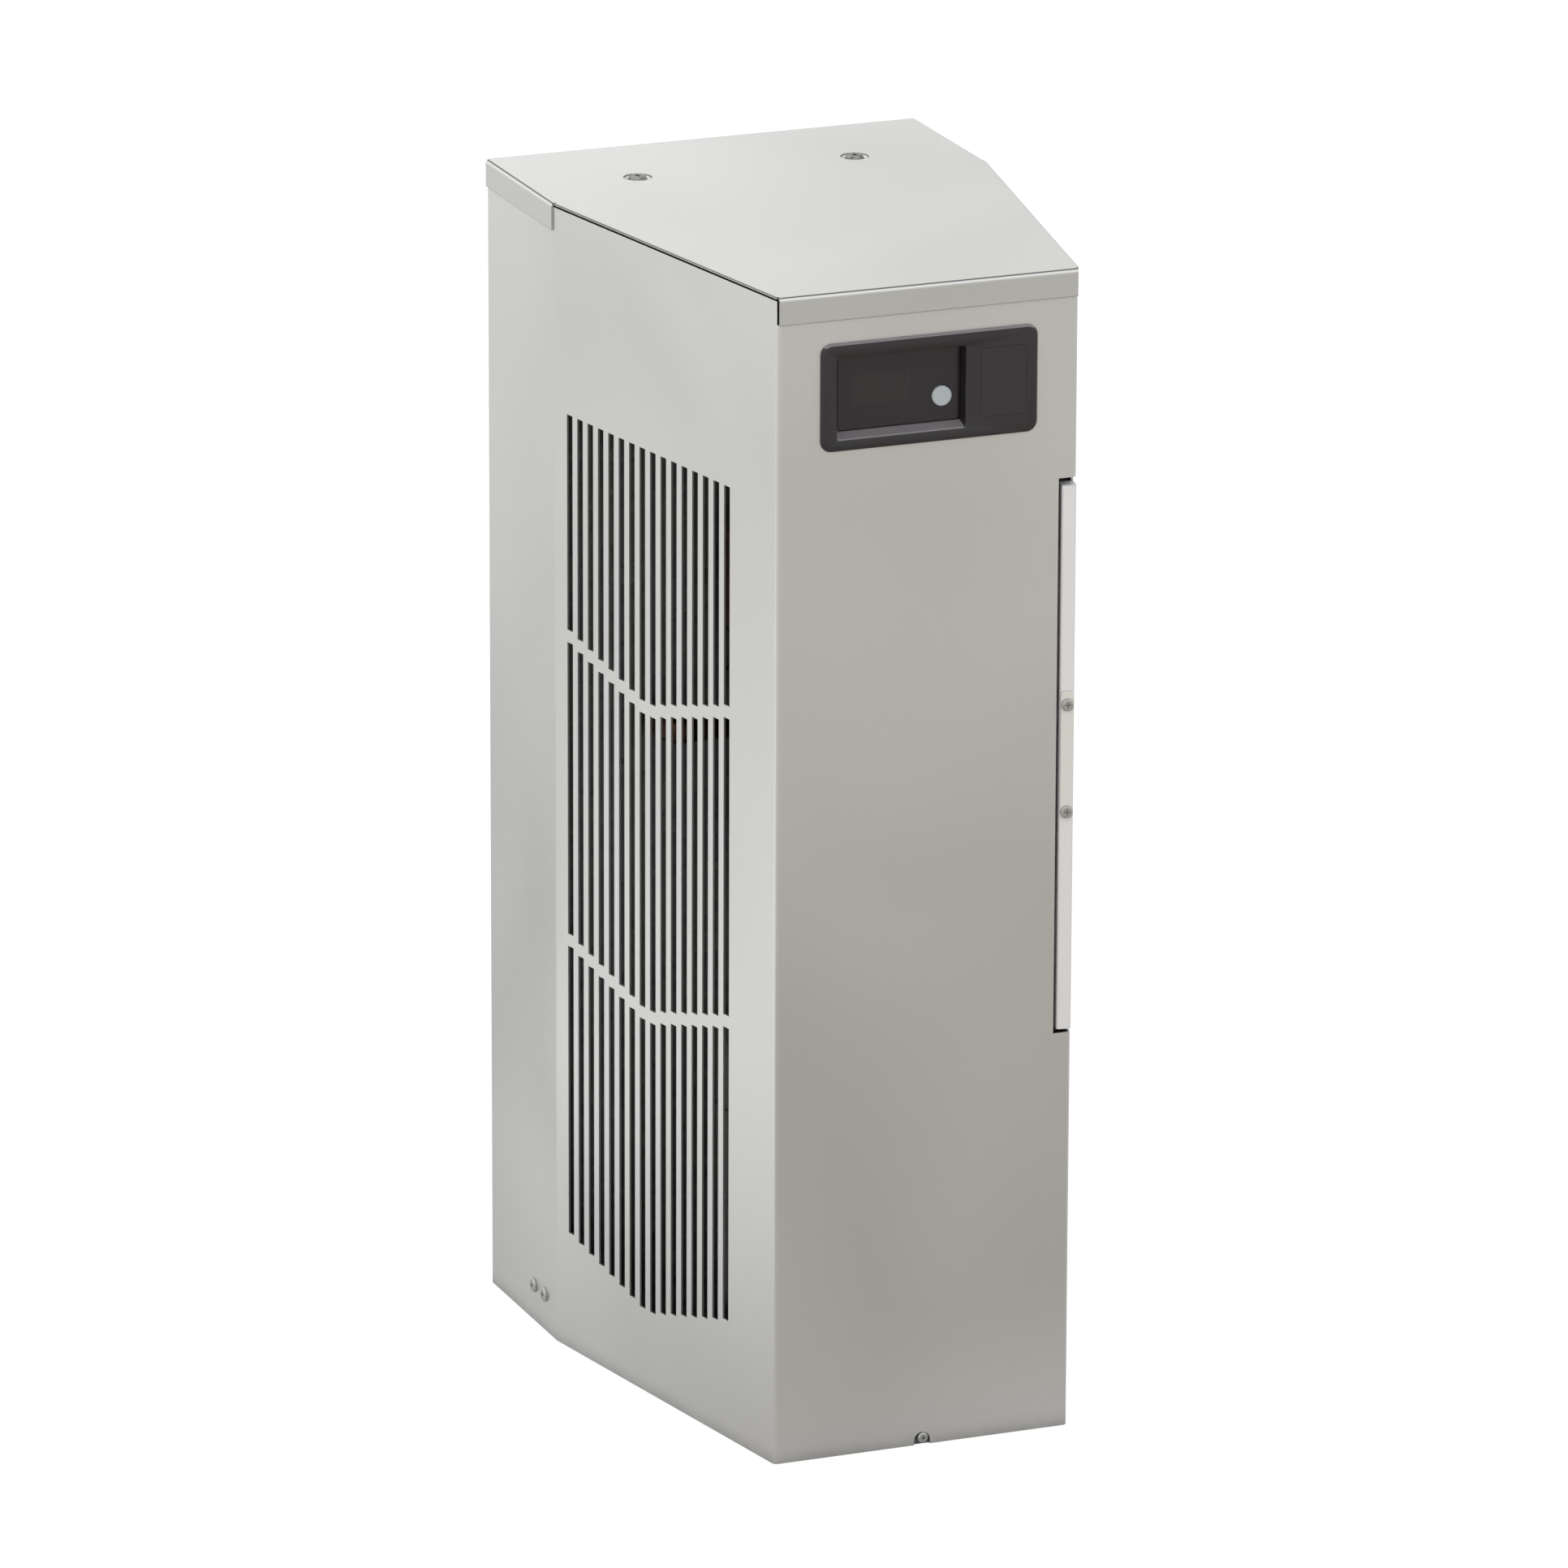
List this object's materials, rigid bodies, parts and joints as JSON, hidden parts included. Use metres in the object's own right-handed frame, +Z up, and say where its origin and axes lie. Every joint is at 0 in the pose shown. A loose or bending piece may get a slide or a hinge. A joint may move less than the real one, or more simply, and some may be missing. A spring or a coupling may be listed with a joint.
{
  "type": "enclosure cooling unit",
  "caption": "Slim wedge-plan air conditioner for an electrical enclosure, with chevron-slotted stainless sides, a slide-out filter and a black display bezel.",
  "frame": {"origin": "on the floor plane under the middle of the whole unit's bounding box, side to side and front to back", "axes": "+Z up; -Y is the front with the display bezel; +Y is the back that bolts to the enclosure; +X is the filter side (on the right as seen from the front)"},
  "size_m": [0.209, 0.2757, 0.5337],
  "materials": {
    "stainless": "satin brushed",
    "galvanized": "zinc coated sheet",
    "foam": "matt closed-cell foam",
    "zinc_yellow": "yellow passivated zinc",
    "screw_steel": "bright",
    "black_plastic": "fine texture",
    "dark_pane": "smoked, glossy",
    "bare_plate": "smooth",
    "button_plastic": "satin",
    "circuit_board": "solder mask",
    "aluminium": "mill finish",
    "filter_mesh": "expanded mesh",
    "white_aluminium": "satin pale coating",
    "ivory_plastic": "satin",
    "black_enamel": "semi-gloss enamel",
    "rubber": "matt",
    "copper": "bright drawn copper",
    "shaft_steel": "ground",
    "blower_plastic": "moulded"
  },
  "bodies": {
    "unit": {"shroud": "stainless", "top_cap": "stainless", "base_pan": "galvanized", "back_plate": "galvanized", "mounting_gasket": "foam", "mount_inserts": "zinc_yellow", "top_cover_screws": "screw_steel", "front_cover_screw": "screw_steel", "side_screws": "screw_steel", "display_bezel": "black_plastic", "display_window": "dark_pane", "badge_plate": "bare_plate", "display_board": "circuit_board", "filter_tracks": "galvanized", "bulkhead": "galvanized", "control_shelf": "galvanized", "insulation_liner": "foam", "coil_stand": "galvanized", "compressor": "black_enamel", "compressor_grommets": "rubber", "compressor_bolts": "zinc_yellow", "terminal_cover": "black_plastic", "accumulator": "black_enamel", "condenser_fins": "aluminium", "condenser_tubes": "copper", "condenser_return_bends": "copper", "condenser_end_plates": "galvanized", "condenser_fan_shroud": "galvanized", "condenser_fan_frame": "black_plastic", "condenser_fan_screws": "screw_steel", "evaporator_fins": "aluminium", "evaporator_tubes": "copper", "evaporator_return_bends": "copper", "evaporator_end_plates": "galvanized", "blower_scroll": "galvanized", "blower_motor": "black_enamel", "air_baffle": "galvanized", "drain_pan": "galvanized", "drain_hose": "rubber", "discharge_line": "copper", "suction_line": "copper", "filter_drier": "copper", "capillary_tube": "copper", "control_box": "galvanized", "control_box_cover": "galvanized", "run_capacitor": "aluminium", "terminal_block": "ivory_plastic", "cable_grommet": "rubber"},
    "filter_cassette": {"filter_frame": "aluminium", "filter_mesh": "filter_mesh", "filter_end_strip": "white_aluminium", "filter_pull_plate": "ivory_plastic", "filter_screws": "screw_steel"},
    "button": {"set_button": "button_plastic"},
    "condenser_fan": {"condenser_impeller": "black_plastic", "condenser_fan_shaft": "shaft_steel"},
    "evaporator_blower": {"blower_wheel": "blower_plastic", "blower_shaft": "shaft_steel"}
  },
  "joints": [
    {"name": "filter_slide", "type": "slide", "parent": "unit", "child": "filter_cassette", "axis": [-0.1765, -0.9843, 0], "range_m": [0, 0.16]},
    {"name": "button_press", "type": "slide", "parent": "unit", "child": "button", "axis": [0, 1, 0], "range_m": [0, 0.0015], "stiffness_N_per_m": 300},
    {"name": "condenser_fan_spin", "type": "hinge", "parent": "unit", "child": "condenser_fan", "pos_m": [0.01695, -0.03717, 0.3098], "axis": [-0.9843, 0.1765, 0], "continuous": true},
    {"name": "evaporator_blower_spin", "type": "hinge", "parent": "unit", "child": "evaporator_blower", "pos_m": [0, 0.10072, 0.432], "axis": [0, 1, 0], "continuous": true}
  ]
}
